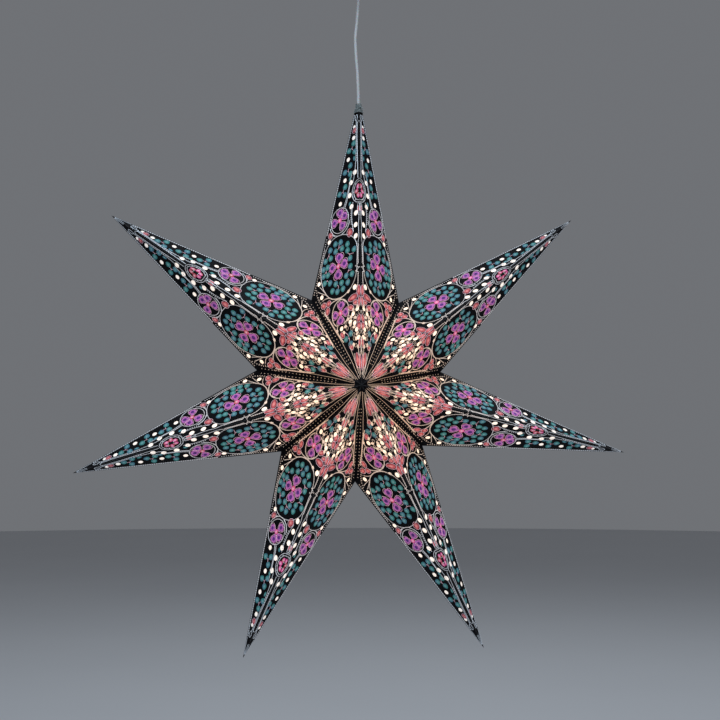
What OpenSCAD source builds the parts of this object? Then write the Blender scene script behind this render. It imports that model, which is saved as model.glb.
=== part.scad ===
// Seven-pointed star lantern of folded, printed and punched paper.
// It hangs from a ceiling fitting by its lead. Millimetres, +Z up, front towards -Y,
// origin in the middle of the fitting's top face, on the ceiling.

/* [Star] */
// Reach of a point from the middle of the star, in the star's plane
point_reach = 300; // [260:5:340]
// Distance from the middle of the star to the notch between two points
waist_r = 98; // [86:1:112]
// Height of the middle above the star's plane, front and back alike
apex_h = 82; // [66:1:100]
// Extra opening between the last point and the tied one, in degrees
seam_gape = 5; // [0:0.5:8]
// How far the star has turned as it hangs, clockwise in degrees
hang_turn = 1; // [-3:0.5:3]
// How far the ceiling is above the middle of the star
drop = 460; // [455:1:475]

/* [Paper] */
// Thickness of the printed sheet
paper_t = 0.4; // [0.3:0.05:0.6]
// Thickness of the pale lining behind it
lining_t = 0.2; // [0.1:0.05:0.4]
// Width of the glue flaps along the valleys
flap_w = 11; // [6:0.5:14]
// Length cut off the tip of the tied point to let the lead through
tip_opening = 17; // [16:0.5:24]
// How far the lining stays back from that opening
lining_setback = 4; // [2:0.5:8]
// Gap where the tied point's back ridge closes
seam_gap = 0.6; // [0.3:0.1:1.2]
// Length of that ridge, next to the middle, which stays whole
seam_stop = 26; // [18:1:60]

/* [Punched holes] */
// Holes along the outer folds
edge_hole_d = 5; // [3:0.5:6]
// Holes round the medallion on the ridge
ridge_hole_d = 5.8; // [3:0.5:7]
// Holes of the cluster near the middle
middle_hole_d = 5; // [3:0.5:6]

/* [Lead] */
// Width of the flat twin lead
lead_w = 4.8; // [4:0.2:5.2]
// Thickness of the lead
lead_t = 2.8; // [2:0.2:3]

/* [Ties] */
// Thickness of the thread round the tip
thread_d = 0.9; // [0.6:0.1:1.2]
// Clearance between that thread and what it is wound round
thread_clear = 0.15; // [0.05:0.05:0.3]
// Turns of thread round the paper
tip_turns = 5; // [3:1:7]
// Turns of thread round the lead above it
lead_turns = 6; // [4:1:8]
// Thickness of the string that closes the back ridge
string_d = 1.1; // [0.8:0.1:1.4]
// Holes that the string passes through
string_hole_d = 2.4; // [2.2:0.1:3]
// Distance of those holes from the ridge
string_hole_v = 6; // [5:0.5:9]
// Distance from the tip to the first tie
tie_from_tip = 52; // [48:1:54]
// Distance from one tie to the next
tie_pitch = 68; // [66:1:69]

/* [Lampholder] */
// Height of the lampholder's top above the middle of the star
holder_top = 92; // [84:1:110]
// Outer diameter of the lampholder
holder_d = 29; // [26:0.5:34]
// Wall of the lampholder's cap and skirt
holder_wall = 1.8; // [1.2:0.1:2.2]
// Length of the cord grip
grip_l = 12; // [8:1:16]
// Length of the domed cap
cap_l = 20; // [16:1:24]
// Length of the skirt
skirt_l = 26; // [22:1:30]

/* [Bulb] */
// Diameter of the glass
globe_d = 45; // [35:1:55]
// Diameter of the screw cap
screw_d = 13.8; // [13:0.1:14]
// Length of the screw cap inside the skirt
screw_l = 21; // [18:1:21]
// Diameter of the glass at the neck
neck_d = 20; // [16:1:22]
// Length of the neck below the skirt
neck_l = 8; // [5:1:12]

/* [Ceiling fitting] */
// Diameter of the mounting plate
plate_d = 56; // [52:1:60]
// Thickness of the plate
plate_t = 2; // [1.5:0.1:3]
// Distance between the two ceiling screw holes
plate_pitch = 40; // [34:1:42]
// Ceiling screw holes
plate_hole_d = 4.4; // [3.5:0.1:5]
// Outer diameter of the cup that covers the plate
cup_d = 68; // [66:1:76]
// Height of the cup
cup_h = 24; // [22:1:27]
// Wall of the cup
cup_wall = 1.6; // [1.2:0.1:2]
// Radius of the cup's lower edge
cup_edge_r = 5; // [3:0.5:8]
// Side screws that hold the cup
side_screw_d = 3; // [2.5:0.5:3.5]
// Length of the gland's nose below the cup
gland_l = 12; // [8:1:13]
// Bore of the gland and of the cord grip
lead_bore_d = 5.6; // [5.4:0.1:6]

/* [Hidden] */
points = 7;

// The paper is folded by hand, so no two points are quite alike. Each point's lean in degrees
// and extra reach in percent, clockwise from the top, and each notch's, from the one right of
// the top.
point_lean_angle = [0, 0.5, 0.5, 0, -1.5, -1.5, 0];
point_stretch_percent = [3.7, -1.7, -1.7, 0, -1.3, -0.7, 2];
notch_skew_angle = 1.3;
notch_stretch_percent = [4, -5, -5, -2, 1, 4, 4];

// The pattern was drawn on a flat panel of this ridge length, with its notch at this place.
pattern_ridge = 311;
pattern_notch = [204, 70];

// Motifs on the panel, as distance from the tip along the ridge and away from the ridge
edge_row_start = [35, 7];
edge_row = [[47, 8], [68.5, 16], [90, 21], [113.5, 28]];
bud_hole = [150, 44];
rim_holes = [[190.5, 59], [206, 55]];
shoulder_hole = [209, 8.5];
leaf_hole = [247, 27];
ridge_flower = 108;
ridge_ring = [25, 14.5];
ring_start_angle = 24;
ring_step_angle = 32;
stem_row = [143.5, 155.5];
stem_off = 6.5;
heart = 247;
heart_ring = 15.5;
heart_inner = 9;

eps = 0.05;
far = 2 * (point_reach + drop);
clear = 0.3;
gape_pitch = (360 - seam_gape) / points;
colour_paper = "#17151a";
colour_lining = "#f3e4d6";
colour_thread = "#8d9a8b";
colour_string = "#d8d0c0";
colour_lead = "#e9e7e2";
colour_plastic = "#ecebe6";

// The lead's route from the lampholder up to the terminals: sideways from the fitting's
// middle, down from the ceiling, and turned about its own length in degrees.
lead_route = [
    [0, -394, 75], [0, -380, 75], [0, -366, 75], [0.4, -350, 75], [0.8, -330, 75],
    [0.9, -306, 74], [0.7, -280, 73], [0.3, -252, 72], [-0.1, -224, 71], [-0.3, -200, 70],
    [-0.4, -182, 70], [-0.3, -169, 70], [-0.4, -152, 72], [-0.8, -140, 74],
    [-1.4, -127, 76], [-2.4, -115, 79], [-3.3, -102, 82], [-3.7, -90, 85],
    [-3.0, -81, 87], [-2.2, -73, 88], [-1.3, -60, 90], [-0.7, -52, 90], [-0.2, -40, 90],
    [0, -28, 90], [0, -14, 90]];

function unit(v) = v / norm(v);
function towards(a) = [sin(a), 0, cos(a)];
function wrap(i) = (i + points) % points;

// Points and notches of the star in its own plane, with its middle at the origin
function point_turn(i) = hang_turn + i * gape_pitch + point_lean_angle[i];
function reach(i) = point_reach * (1 + point_stretch_percent[i] / 100);
function tip(i) = reach(i) * towards(point_turn(i));
function notch_turn(i) = notch_skew_angle
    + (point_turn(i) + (i == points - 1 ? point_turn(0) + 360 : point_turn(i + 1))) / 2;
function notch_r(i) = waist_r * (1 + notch_stretch_percent[i] / 100);
function notch(i) = notch_r(i) * towards(notch_turn(i));
function apex(face) = [0, face * apex_h, 0];
function side_notch(i, side) = side < 0 ? notch(wrap(i - 1)) : notch(i);

// The middle of the star hangs so that the tied tip is below the ceiling fitting
star_middle = [-tip(0).x, 0, -drop];

// A panel's frame: x along its ridge from the tip, z out of the lantern
function panel_frame(i, face, side) =
    let (t = tip(i),
         x = unit(apex(face) - t),
         up = cross(x, side_notch(i, side) - t),
         z = unit(up) * (up.y * face > 0 ? 1 : -1),
         y = cross(z, x))
    [[x.x, y.x, z.x, t.x], [x.y, y.y, z.y, t.y], [x.z, y.z, z.z, t.z], [0, 0, 0, 1]];
function column(m, c) = [m[0][c], m[1][c], m[2][c]];

// A place on the flat pattern, carried to the panel's own size and hand
function panel_place(i, face, side, p) =
    let (m = panel_frame(i, face, side),
         n = side_notch(i, side) - tip(i),
         along = norm(apex(face) - tip(i)) / pattern_ridge,
         notch_u = n * column(m, 0),
         notch_v = n * column(m, 1))
    [p.x * along + p.y * (notch_u - pattern_notch.x * along) / pattern_notch.y,
     p.y * notch_v / pattern_notch.y, 0];

module at_star() translate(star_middle) children();

// Solid wedge of one point, from its tip to the axis of the star
module point_wedge(i) {
    polyhedron(
        points = [tip(i), apex(-1), apex(1), side_notch(i, -1), side_notch(i, 1)],
        faces = [[0, 1, 3], [0, 4, 1], [0, 3, 2], [0, 2, 4], [3, 1, 2], [1, 4, 2]]);
}

// Everything that lies at least depth inside all four panels of a point
module behind_panels(i, depth) {
    intersection_for (face = [-1, 1], side = [-1, 1])
        multmatrix(panel_frame(i, face, side))
            translate([-far, -far, -far - depth]) cube([2 * far, 2 * far, far]);
}

// Everything inside a point's two glue planes by at least depth
module between_flaps(i, depth) {
    intersection_for (side = [-1, 1])
        rotate([0, side < 0 ? notch_turn(wrap(i - 1)) - (i == 0 ? 360 : 0) : notch_turn(i), 0])
            translate([side < 0 ? depth : -far - depth, -far, -far]) cube([far, 2 * far, 2 * far]);
}

// Glue flap along both valleys of one side, lying in the plane of the valleys
module flaps(i, side) {
    r = norm(side_notch(i, side));
    lean = atan2(apex_h, r);
    at_axis = apex_h - flap_w / cos(lean);
    turn = side < 0 ? notch_turn(wrap(i - 1)) : notch_turn(i);
    intersection() {
        point_wedge(i);
        rotate([0, turn, 0]) rotate([0, side * 90, 0])
            linear_extrude(2 * paper_t, center = true) difference() {
                square(2 * far, center = true);
                polygon([[0, -at_axis], [-side * (r - flap_w / sin(lean)), 0], [0, at_axis],
                         [side * flap_w, at_axis], [side * flap_w, -at_axis]]);
            }
    }
}

// The holes punched through one panel
module punched(i, face, side) {
    module hole(p, d)
        translate(panel_place(i, face, side, p)) cylinder(d = d, h = 4 * paper_t, center = true, $fn = 24);
    multmatrix(panel_frame(i, face, side)) {
        hole(edge_row_start, edge_hole_d - 1);
        for (p = edge_row) hole(p, edge_hole_d);
        hole(bud_hole, edge_hole_d);
        for (p = rim_holes) hole(p, edge_hole_d);
        hole(shoulder_hole, ridge_hole_d);
        hole(leaf_hole, middle_hole_d);
        for (n = [0:4])
            let (a = ring_start_angle + n * ring_step_angle)
            hole([ridge_flower + ridge_ring.x * cos(a), ridge_ring.y * sin(a)], ridge_hole_d);
        for (u = stem_row) hole([u, stem_off], ridge_hole_d);
        for (a = [15, 104, 135, 160])
            hole([heart + heart_ring * cos(a), heart_ring * sin(a)], middle_hole_d);
        for (a = [45, 96])
            hole([heart + heart_inner * cos(a), heart_inner * sin(a)], middle_hole_d);
    }
}

// Axis of a point, with its tip at the origin and the middle of the star below
module at_tip(i) translate(tip(i)) rotate([0, point_turn(i), 0]) children();

// What the tied point leaves open: its tip, and the back ridge with its string holes
module tied_openings(setback) {
    at_tip(0) {
        translate([-far / 2, -far / 2, -tip_opening - setback]) cube(far);
        translate([-seam_gap / 2, 0, -reach(0) + seam_stop]) cube([seam_gap, far, reach(0)]);
    }
    for (n = [0:2], side = [-1, 1]) {
        m = panel_frame(0, 1, side);
        hand = (side_notch(0, side) - tip(0)) * column(m, 1) > 0 ? 1 : -1;
        multmatrix(m) translate([tie_from_tip + n * tie_pitch, hand * string_hole_v, 0])
            cylinder(d = string_hole_d, h = 4 * (paper_t + lining_t), center = true, $fn = 24);
    }
}

// One folded sheet: four panels round a point and the flaps that glue it to its neighbours
module point(i) {
    color(colour_paper) at_star() difference() {
        union() {
            difference() {
                point_wedge(i);
                behind_panels(i, paper_t);
            }
            flaps(i, -1);
            flaps(i, 1);
        }
        for (face = [-1, 1], side = [-1, 1]) punched(i, face, side);
        if (i == 0) tied_openings(0);
    }
}

// The pale lining glued inside a point, which the punched holes show
module lining(i) {
    color(colour_lining) at_star() difference() {
        intersection() {
            point_wedge(i);
            behind_panels(i, paper_t);
            between_flaps(i, paper_t);
        }
        behind_panels(i, paper_t + lining_t);
        if (i == 0) tied_openings(lining_setback);
    }
}

// A string through a pair of holes, closed over the back ridge with a knot and two tails
module seam_tie(n) {
    ridge = unit(apex(1) - tip(0));
    left = column(panel_frame(0, 1, -1), 2);
    right = column(panel_frame(0, 1, 1), 2);
    out = unit(left + right);
    across = cross(ridge, out);
    half = acos(abs(out * right));
    lift = string_d / 2 + 0.1;
    into = string_hole_v * sin(half);
    wide = string_hole_v * cos(half);
    depth = (into * into + wide * wide - lift * lift) / (2 * (into + lift));
    tail = 13;
    color(colour_string) at_star()
        multmatrix([[across.x, out.x, ridge.x, tip(0).x], [across.y, out.y, ridge.y, tip(0).y],
                    [across.z, out.z, ridge.z, tip(0).z], [0, 0, 0, 1]])
        translate([0, 0, tie_from_tip + n * tie_pitch]) {
            translate([0, -depth, 0]) rotate_extrude($fn = 40)
                translate([depth + lift, 0]) circle(d = string_d, $fn = 16);
            translate([0, lift + string_d / 2, 0]) sphere(d = 2.6 * string_d, $fn = 20);
            for (hand = [-1, 1])
                translate([0, lift + string_d, 0]) rotate([0, 0, hand * (5 - half)])
                    rotate([0, hand * (90 + 14 * hand + 8), 0])
                        cylinder(d = string_d, h = tail, $fn = 16);
        }
}

// Thread wound round the cut tip and round the lead above it, with its knot
module tip_tie() {
    axis = towards(point_turn(0));
    slope = column(panel_frame(0, -1, 1), 2) * axis;
    core = sqrt(pow(lead_w / 2, 2) + pow(lead_t / 4, 2)) + thread_clear;
    knot = [1.2, -core - thread_d, 2.4 * thread_d];
    tail = 6;
    module outside_paper(gap) translate(axis * gap / slope) point_wedge(0);
    color(colour_thread) at_star() {
        difference() {
            union() for (n = [0:tip_turns - 1]) intersection() {
                outside_paper(thread_clear + thread_d * (n % 2 == 0 ? 1 : 0.72));
                at_tip(0) translate([-far / 2, -far / 2, -tip_opening - (n + 1) * thread_d])
                    cube([far, far, thread_d]);
            }
            outside_paper(thread_clear);
        }
        at_tip(0) translate([0, 0, -tip_opening]) {
            rotate_extrude($fn = 40) {
                translate([core, 0]) square([0.8 * thread_d, lead_turns * thread_d]);
                for (n = [0.5:lead_turns]) translate([core + 0.5 * thread_d, n * thread_d])
                    circle(d = thread_d, $fn = 16);
            }
            translate(knot) sphere(d = 3.2 * thread_d, $fn = 24);
            for (hand = [-1, 1])
                translate(knot) rotate([96, 0, hand * 46]) cylinder(d = thread_d, h = tail, $fn = 16);
        }
    }
}

// Flat twin lead, swept along its route: a ring of twelve points at each place
module lamp_cord() {
    rings = len(lead_route);
    sides = 12;
    function outline(a) = let (r = lead_t / 2, c = (lead_w - lead_t) / 2)
        [r * cos(a) + (cos(a) > 0.01 ? c : cos(a) < -0.01 ? -c : 0), r * sin(a)];
    color(colour_lead) polyhedron(
        points = [for (p = lead_route, n = [0:sides - 1])
            let (q = outline(n * 360 / sides))
            [p.x + q.x * cos(p.z) - q.y * sin(p.z), q.x * sin(p.z) + q.y * cos(p.z), p.y]],
        faces = concat(
            [[for (n = [0:sides - 1]) n]],
            [for (k = [0:rings - 2], n = [0:sides - 1])
                [k * sides + n, (k + 1) * sides + n, (k + 1) * sides + (n + 1) % sides,
                 k * sides + (n + 1) % sides]],
            [[for (n = [sides - 1:-1:0]) (rings - 1) * sides + n]]));
}

// Lampholder, from its top down: heights are measured from the top of the cord grip
module at_holder() translate([0, 0, -drop + holder_top]) children();
core_top = -grip_l - 0.7 * cap_l;
core_t = 6;
skirt_top = -grip_l - cap_l;
skirt_bottom = skirt_top - skirt_l;
sleeve_r = screw_d / 2 + 0.05;
sleeve_t = 0.5;

module cord_grip() {
    color(colour_plastic) at_holder() difference() {
        union() {
            translate([0, 0, -grip_l]) cylinder(r1 = 5.6, r2 = 4.4, h = grip_l, $fn = 48);
            translate([0, 0, -grip_l]) cylinder(r = 6.6, h = 3, $fn = 48);
        }
        translate([0, 0, -grip_l - eps]) cylinder(d = lead_bore_d, h = grip_l + 2 * eps, $fn = 48);
    }
}

module holder_cap() {
    r = holder_d / 2;
    neck = 8;
    color(colour_plastic) at_holder() translate([0, 0, skirt_top]) difference() {
        rotate_extrude($fn = 72) difference() {
            dome_profile(r, neck, cap_l);
            dome_profile(r - holder_wall, neck - holder_wall, cap_l - holder_wall);
        }
        cylinder(d = lead_bore_d, h = 2 * cap_l, $fn = 48);
    }
}

// Half outline of the cap: a straight rim below an arc that ends in a flat neck
module dome_profile(r, neck, h) {
    rim = 5;
    polygon(concat([[0, 0], [r, 0]],
        [for (a = [0:10:90]) [neck + (r - neck) * cos(a), rim + (h - rim) * sin(a)]],
        [[0, h]]));
}

// Moulded core in the cap that the lead's wires are clamped in, on top of the screw sleeve
module holder_core() {
    color("#cfcdc6") at_holder() translate([0, 0, core_top - core_t]) difference() {
        cylinder(d = holder_d - 2 * holder_wall - 2 * clear, h = core_t, $fn = 60);
        for (x = [-1, 1]) translate([x * 7.5, 0, core_t - 3]) cylinder(d = 3.2, h = 3 + eps, $fn = 24);
    }
}

module holder_skirt() {
    r = holder_d / 2;
    shelf = skirt_l - 3;
    color(colour_plastic) at_holder() translate([0, 0, skirt_bottom]) difference() {
        union() {
            cylinder(r1 = r - 1, r2 = r, h = skirt_l, $fn = 72);
            for (z = [5:4:skirt_l - 6]) translate([0, 0, z]) cylinder(r = r + 0.4, h = 1.4, $fn = 72);
        }
        translate([0, 0, -eps]) cylinder(r = sleeve_r + sleeve_t + 0.1, h = skirt_l + 1, $fn = 72);
        translate([0, 0, shelf]) cylinder(r = r - holder_wall, h = skirt_l, $fn = 72);
    }
}

module holder_sleeve() {
    top = core_top - core_t - skirt_bottom;
    color("#c9a24a") at_holder() translate([0, 0, skirt_bottom]) difference() {
        translate([0, 0, 1]) cylinder(r = sleeve_r + sleeve_t, h = top - 1, $fn = 60);
        translate([0, 0, -eps]) cylinder(r = sleeve_r, h = top - 0.8, $fn = 60);
    }
}

module bulb_cap() {
    color("#c8c8cc") at_holder() translate([0, 0, skirt_bottom]) {
        cylinder(d = screw_d, h = screw_l, $fn = 60);
        translate([0, 0, screw_l - eps]) cylinder(d1 = screw_d - 2, d2 = 6, h = 2.5, $fn = 60);
    }
}

// Glass in one revolve: an arc for the globe, drawn in to the neck
module bulb_glass() {
    r = globe_d / 2;
    from = asin(neck_d / 2 / r);
    middle = -neck_l - r * cos(from);
    color("#f6efe2") at_holder() translate([0, 0, skirt_bottom])
        rotate_extrude($fn = 96) polygon(concat(
            [[0, 0], [screw_d / 2 + 1, 0], [neck_d / 2, -neck_l * 0.35]],
            [for (n = [0:18]) let (a = from + n * (180 - from) / 18)
                [r * sin(a), middle + r * cos(a)]]));
}

ear_w = 10;
ear_h = 11;
ear_t = 1.6;
cup_inside = cup_d / 2 - cup_wall;
ear_out = sqrt(pow(cup_inside, 2) - pow(ear_w / 2, 2)) - clear;
side_screw_z = -6;

// Round plate with two turned-down ears for the side screws
module ceiling_plate() {
    color("#b9bbbd") difference() {
        union() {
            translate([0, 0, -plate_t]) cylinder(d = plate_d, h = plate_t, $fn = 96);
            for (hand = [-1, 1]) translate([hand * (ear_out - ear_t / 2), 0, -ear_h / 2])
                cube([ear_t, ear_w, ear_h], center = true);
            for (hand = [-1, 1])
                translate([hand * (ear_out + plate_d / 4 - ear_t) / 2, 0, -plate_t / 2])
                    cube([ear_out - plate_d / 4 + ear_t, ear_w, plate_t], center = true);
        }
        for (hand = [-1, 1]) {
            translate([hand * plate_pitch / 2, 0, -plate_t - 1])
                cylinder(d = plate_hole_d, h = plate_t + 2, $fn = 48);
            translate([hand * ear_out, 0, side_screw_z]) rotate([0, 90, 0])
                cylinder(d = side_screw_d + 0.1, h = 3 * ear_t, center = true, $fn = 32);
        }
    }
}

block = [18, 10, 12];
module terminal_block() {
    color("#dedcd4") translate([0, 0, -plate_t - block.z]) difference() {
        translate([-block.x / 2, -block.y / 2, 0]) cube(block);
        for (hand = [-1, 1]) {
            translate([hand * block.x / 4, -block.y / 2 - eps, block.z / 2]) rotate([-90, 0, 0])
                cylinder(d = 3.4, h = 4, $fn = 24);
            translate([hand * block.x / 4, 0, -eps]) cylinder(d = 2.4, h = 4, $fn = 24);
        }
    }
}

// Outline of the cup, from its rim on the ceiling to its rounded floor
module cup_profile(r, h, edge) {
    polygon(concat([[0, 0], [r, 0]],
        [for (a = [0:10:90]) [r - edge + edge * cos(a), -h + edge - edge * sin(a)]],
        [[0, -h]]));
}

module ceiling_cup() {
    color(colour_plastic) difference() {
        rotate_extrude($fn = 120) difference() {
            cup_profile(cup_d / 2, cup_h, cup_edge_r);
            translate([0, eps]) cup_profile(cup_inside, cup_h - cup_wall + eps, cup_edge_r - cup_wall);
        }
        translate([0, 0, -cup_h - 1]) cylinder(r = gland_stem_r + 0.1, h = cup_h, $fn = 60);
        for (hand = [-1, 1]) translate([hand * cup_d / 2, 0, side_screw_z]) rotate([0, 90, 0])
            cylinder(d = side_screw_d + 0.4, h = 4 * cup_wall, center = true, $fn = 32);
    }
}

module cup_screws() {
    head_h = 1.8;
    length = cup_d / 2 - ear_out + ear_t + 1.5;
    color("#a9abae") for (hand = [-1, 1])
        translate([hand * cup_d / 2, 0, side_screw_z]) rotate([0, hand * 90, 0]) difference() {
            union() {
                translate([0, 0, -length]) cylinder(d = side_screw_d, h = length + eps, $fn = 32);
                cylinder(d = 1.9 * side_screw_d, h = head_h, $fn = 40);
            }
            translate([-0.4, -side_screw_d, head_h - 0.8]) cube([0.8, 2 * side_screw_d, 1]);
        }
}

gland_stem_r = 4.6;
// Bush through the cup's floor, with a tapered nose that the lead leaves by
module cord_gland() {
    nut_h = 3;
    color(colour_plastic) translate([0, 0, -cup_h]) difference() {
        union() {
            cylinder(r = gland_stem_r, h = cup_wall + nut_h, $fn = 60);
            translate([0, 0, cup_wall]) cylinder(r = gland_stem_r + 2.6, h = nut_h, $fn = 6);
            translate([0, 0, -3]) cylinder(r = gland_stem_r + 2.4, h = 3, $fn = 60);
            translate([0, 0, -gland_l]) cylinder(r1 = 4, r2 = gland_stem_r + 1, h = gland_l - 3 + eps, $fn = 60);
        }
        translate([0, 0, -gland_l - eps]) cylinder(d = lead_bore_d, h = gland_l + cup_h, $fn = 60);
    }
}

point(0);  // point_1
point(1);  // point_2
point(2);  // point_3
point(3);  // point_4
point(4);  // point_5
point(5);  // point_6
point(6);  // point_7
lining(0);  // lining_1
lining(1);  // lining_2
lining(2);  // lining_3
lining(3);  // lining_4
lining(4);  // lining_5
lining(5);  // lining_6
lining(6);  // lining_7
seam_tie(0);  // seam_tie_1
seam_tie(1);  // seam_tie_2
seam_tie(2);  // seam_tie_3
tip_tie();
lamp_cord();
cord_grip();
holder_cap();
holder_core();
holder_skirt();
holder_sleeve();
bulb_cap();
bulb_glass();
ceiling_plate();
terminal_block();
ceiling_cup();
cup_screws();
cord_gland();
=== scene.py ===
"""Printed and punched paper star lantern: its papers, print, glow, lead, ties and fittings."""

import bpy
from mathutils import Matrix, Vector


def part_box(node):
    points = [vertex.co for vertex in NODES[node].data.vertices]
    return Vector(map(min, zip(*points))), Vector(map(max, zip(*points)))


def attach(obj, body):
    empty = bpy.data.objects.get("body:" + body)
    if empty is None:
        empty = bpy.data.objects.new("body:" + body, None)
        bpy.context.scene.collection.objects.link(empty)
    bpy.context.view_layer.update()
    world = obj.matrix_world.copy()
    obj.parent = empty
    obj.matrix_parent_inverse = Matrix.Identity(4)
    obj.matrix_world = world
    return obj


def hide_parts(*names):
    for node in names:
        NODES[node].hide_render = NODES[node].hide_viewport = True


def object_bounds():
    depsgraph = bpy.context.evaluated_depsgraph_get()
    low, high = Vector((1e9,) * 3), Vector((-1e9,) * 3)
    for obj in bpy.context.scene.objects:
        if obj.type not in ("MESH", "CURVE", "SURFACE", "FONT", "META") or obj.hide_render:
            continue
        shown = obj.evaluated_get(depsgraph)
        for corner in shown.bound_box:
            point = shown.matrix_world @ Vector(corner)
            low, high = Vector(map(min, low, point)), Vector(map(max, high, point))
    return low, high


bl_info = {
    "name": "Paper Star Lantern",
    "version": (1, 0, 0),
    "blender": (4, 5, 0),
    "location": "3D View > Sidebar > Lantern",
    "description": "Dresses a folded seven-pointed star lantern with its print, glow, ties and lead",
    "category": "Object",
}

from math import atan2, cos, degrees, hypot, pi, radians, sin, tau

import bpy
from mathutils import Matrix, Vector
from mathutils.geometry import intersect_line_line

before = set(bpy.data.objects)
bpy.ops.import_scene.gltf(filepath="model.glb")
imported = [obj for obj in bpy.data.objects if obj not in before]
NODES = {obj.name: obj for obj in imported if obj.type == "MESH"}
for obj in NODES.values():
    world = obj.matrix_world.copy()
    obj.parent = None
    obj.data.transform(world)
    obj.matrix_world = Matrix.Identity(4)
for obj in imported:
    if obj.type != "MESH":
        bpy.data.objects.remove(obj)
FRAME_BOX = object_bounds()

MM = 0.001
POINTS = range(1, 8)
TIED = 1


def middle_line():
    """The front and back middle of the star, where all the folded sheets meet"""
    corners = [v.co for v in NODES["point_2"].data.vertices]
    return min(corners, key=lambda c: c.y).copy(), max(corners, key=lambda c: c.y).copy()


FRONT, BACK = middle_line()
MIDDLE = (FRONT + BACK) / 2


def colour(name, text, value):
    """A colour setting with its swatch"""
    return bpy.props.FloatVectorProperty(name=name, description=text, default=value, size=3,
                                         min=0, max=1, subtype="COLOR")


def size(name, text, value):
    """A size setting in metres"""
    return bpy.props.FloatProperty(name=name, description=text, default=value, min=0, unit="LENGTH")


def amount(name, text, value, low=0):
    """A plain number setting"""
    return bpy.props.FloatProperty(name=name, description=text, default=value, min=low)


def toned(shade, factor):
    """A colour made darker or lighter"""
    return [c * factor for c in shade]


class LanternPrint(bpy.types.PropertyGroup):
    """Inks, papers and the height of the print"""
    ground: colour("Ground", "Black cotton paper", (0.004, 0.0038, 0.005))
    # Paler grey for the folds: partly a painted highlight on the fold edges, partly rubbed paper
    fold_sheen_and_wear: colour("Worn folds", "Paper where the folds have rubbed", (0.075, 0.075, 0.08))
    silver: colour("Silver line", "Glitter outline away from the bulb", (0.6, 0.65, 0.7))
    # Painted warm light of the bulb on the outline round the middle
    bulb_warmed_line: colour("Gold line", "Glitter outline round the middle", (0.74, 0.6, 0.48))
    teal: colour("Teal", "Leaves of the large medallion", (0.05, 0.24, 0.235))
    blue: colour("Blue", "The bluer of those leaves", (0.07, 0.2, 0.28))
    # Painted highlight for the middles of the teal leaves
    leaf_highlight: colour("Sky", "Pale hearts of the leaves", (0.2, 0.46, 0.46))
    pink: colour("Pink", "Flower petals", (0.42, 0.13, 0.42))
    rose: colour("Rose", "Hearts of the flowers", (0.85, 0.14, 0.4))
    blush: colour("Blush", "Thin outlines of the petals", (0.88, 0.6, 0.72))
    violet: colour("Violet", "Spots on the petals", (0.1, 0.03, 0.2))
    coral: colour("Coral", "Buds, trefoils and tulips", (0.52, 0.1, 0.12))
    # Painted highlight for the middles of the coral motifs
    coral_highlight: colour("Salmon", "Pale hearts of the coral motifs", (0.9, 0.36, 0.36))
    cream: colour("Cream", "Pale beads near the middle", (0.85, 0.74, 0.64))
    height: size("Print height", "How far the ink stands above the paper", 0.00022)
    line: size("Line width", "Width of the outlines", 0.0007)
    bold: size("Bold line width", "Width of the strongest outlines", 0.001)


class LanternGlow(bpy.types.PropertyGroup):
    """Light that comes through the papers"""
    near: colour("Near the bulb", "Tint of the light round the middle", (1.0, 0.7, 0.47))
    far: colour("At the tips", "Tint of the light in the tips", (0.4, 0.46, 0.54))
    lining: amount("Lining", "Strength of the light on the pale lining", 1.45)
    ink: amount("Ink", "Strength of the light through the print", 0.42)
    bulb: amount("Bulb", "Strength of the light of the glass", 6.0)


class LanternLead(bpy.types.PropertyGroup):
    """The flat lead and the ties"""
    width: size("Width", "Width of the flat lead", 0.0048)
    thickness: size("Thickness", "Thickness of the lead", 0.0028)
    thread: size("Thread", "Thickness of the thread round the tip", 0.0009)
    string: size("String", "Thickness of the strings at the back", 0.0011)


class LanternStage(bpy.types.PropertyGroup):
    """Floor, light and camera"""
    azimuth: amount("Azimuth", "Camera direction in degrees", -5.963, -180)
    elevation: amount("Elevation", "Camera height in degrees", -3.862, -90)
    distance: size("Distance", "From the camera to the star", 1.35)
    lens: amount("Lens", "Focal length in millimetres", 64.97)
    aim: bpy.props.FloatVectorProperty(
        name="Aim", description="Middle of the view from the star's middle", size=3,
        default=(0.00676, 0, 0.02987), subtype="TRANSLATION")
    floor: size("Floor", "Depth of the floor below the star's lowest tip", 0.42)
    backdrop: colour("Surroundings", "Soft light all round", (0.16, 0.167, 0.18))


def settings():
    """The four groups of settings"""
    scene = bpy.context.scene
    return scene.lantern_print, scene.lantern_glow, scene.lantern_lead, scene.lantern_stage


class Socket:
    """A node's output, so that shader maths is written as expressions"""

    def __init__(self, look, link):
        self.look, self.link = look, link

    def maths(self, operation, *values):
        return self.look.node("ShaderNodeMath", {"operation": operation}, dict(enumerate(values)))

    def __add__(self, other):
        return self.maths("ADD", self, other)

    def __radd__(self, other):
        return self.maths("ADD", other, self)

    def __rsub__(self, other):
        return self.maths("SUBTRACT", other, self)

    def __mul__(self, other):
        return self.maths("MULTIPLY", self, other)

    def __abs__(self):
        return self.maths("ABSOLUTE", self)


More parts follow.
